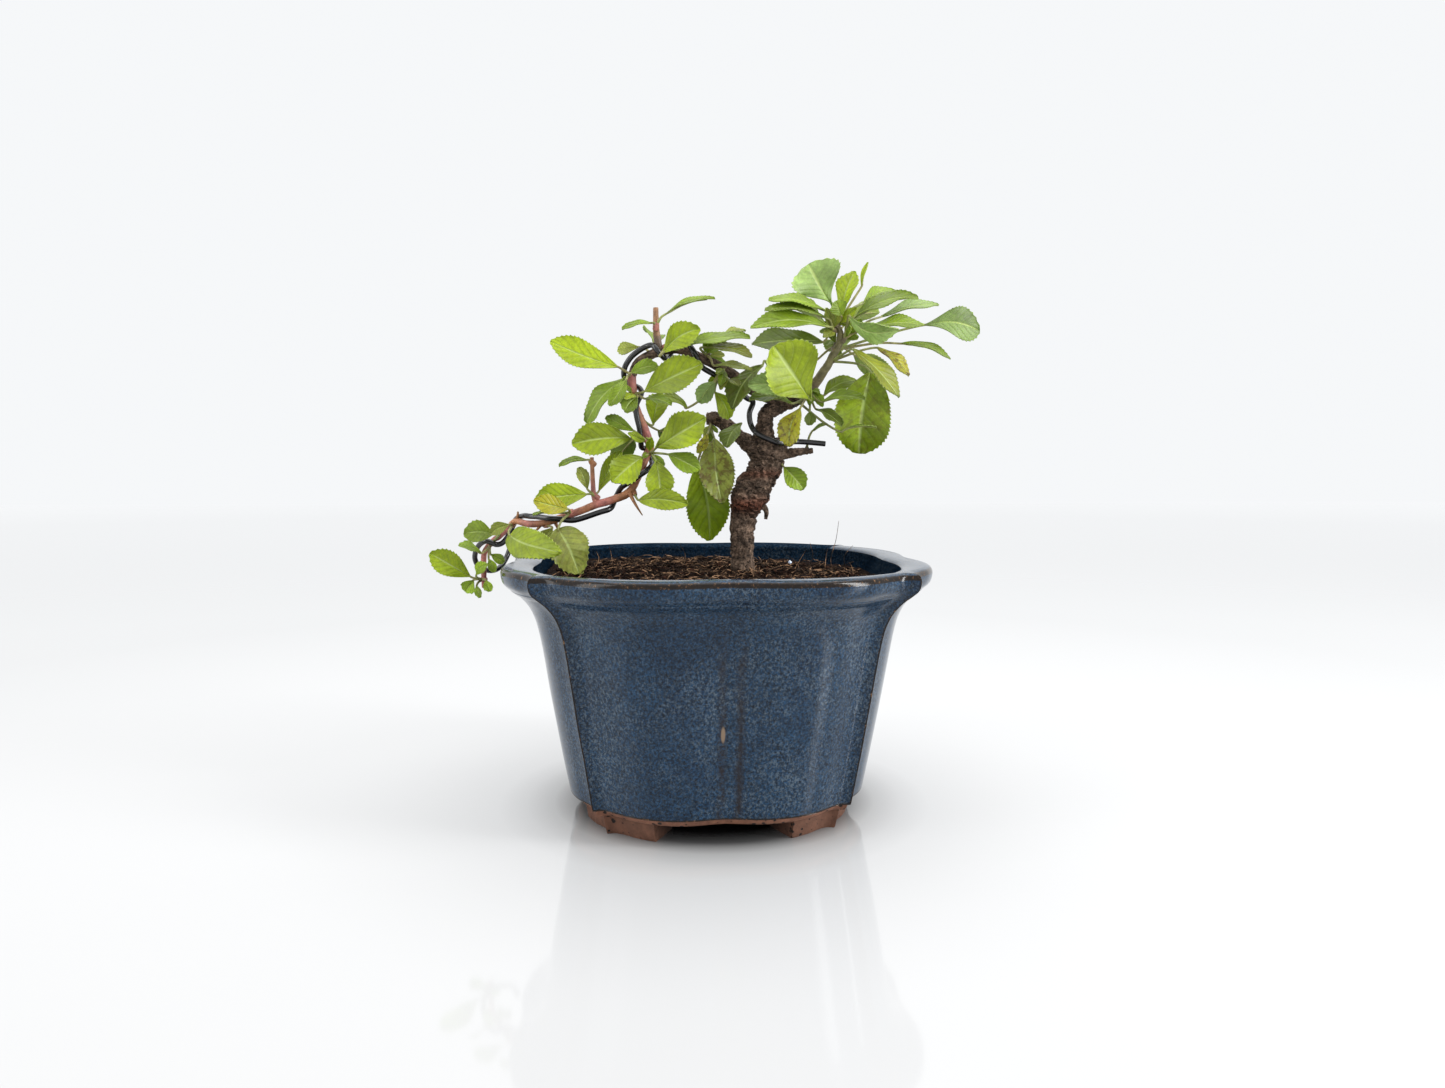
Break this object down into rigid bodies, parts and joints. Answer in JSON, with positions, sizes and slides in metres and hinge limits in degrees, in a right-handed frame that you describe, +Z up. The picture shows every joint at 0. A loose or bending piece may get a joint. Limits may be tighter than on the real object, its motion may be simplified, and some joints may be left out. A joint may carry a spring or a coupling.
{
  "type": "potted firethorn bonsai",
  "caption": "Young firethorn bonsai with a long cascading branch held by spiral wire, in a four-lobed glazed pot with a flared lip and low bracket feet.",
  "frame": {"origin": "on the ground under the middle of the whole object's box, 3.1 mm to the left of the pot's own middle", "axes": "+Z up along the pot's axis; +X to the viewer's right along the side of the pot that faces the camera, away from the cascading branch; +Y to the back"},
  "size_m": [0.2008, 0.1556, 0.1962],
  "materials": {
    "pot": "glossy mottled blue-black glaze over stoneware, bare brown clay at the feet",
    "soil": "dry dark brown fibrous peat and coir, matte",
    "drain_mesh": "matte black plastic screen",
    "bark": "rough grey-brown bark on the trunk, smoother red-brown to pink young stems",
    "training_wire": "glossy black anodised aluminium wire",
    "leaf": "semi-gloss light green and yellow-green leaf with a paler midrib and finely toothed edge"
  },
  "bodies": {
    "root": {"drain_mesh": "drain_mesh", "pot": "pot", "soil": "soil", "training_wire": "training_wire", "trunk_and_branches": "bark", "shoot_shoulder": "leaf", "shoot_stub": "leaf", "shoot_arch": "leaf", "shoot_descent": "leaf", "shoot_bend": "leaf", "shoot_crook": "leaf", "shoot_thorn": "leaf", "shoot_twig_top": "leaf", "shoot_twig_foot": "leaf", "shoot_rim": "leaf", "shoot_rim_low": "leaf", "shoot_over_rim": "leaf", "shoot_hook": "leaf", "shoot_tip": "leaf", "shoot_span": "leaf", "shoot_under_span": "leaf", "shoot_left_limb": "leaf", "shoot_fork": "leaf", "shoot_purple": "leaf", "shoot_crown_top": "leaf", "shoot_crown_left": "leaf", "shoot_crown_right": "leaf", "shoot_far_right": "leaf", "shoot_hanging_right": "leaf", "shoot_front": "leaf", "shoot_thin": "leaf", "shoot_trunk": "leaf", "shoot_stub_end": "leaf", "shoot_crown_back": "leaf", "shoot_arch_back": "leaf", "shoot_bend_back": "leaf"}
  },
  "joints": []
}
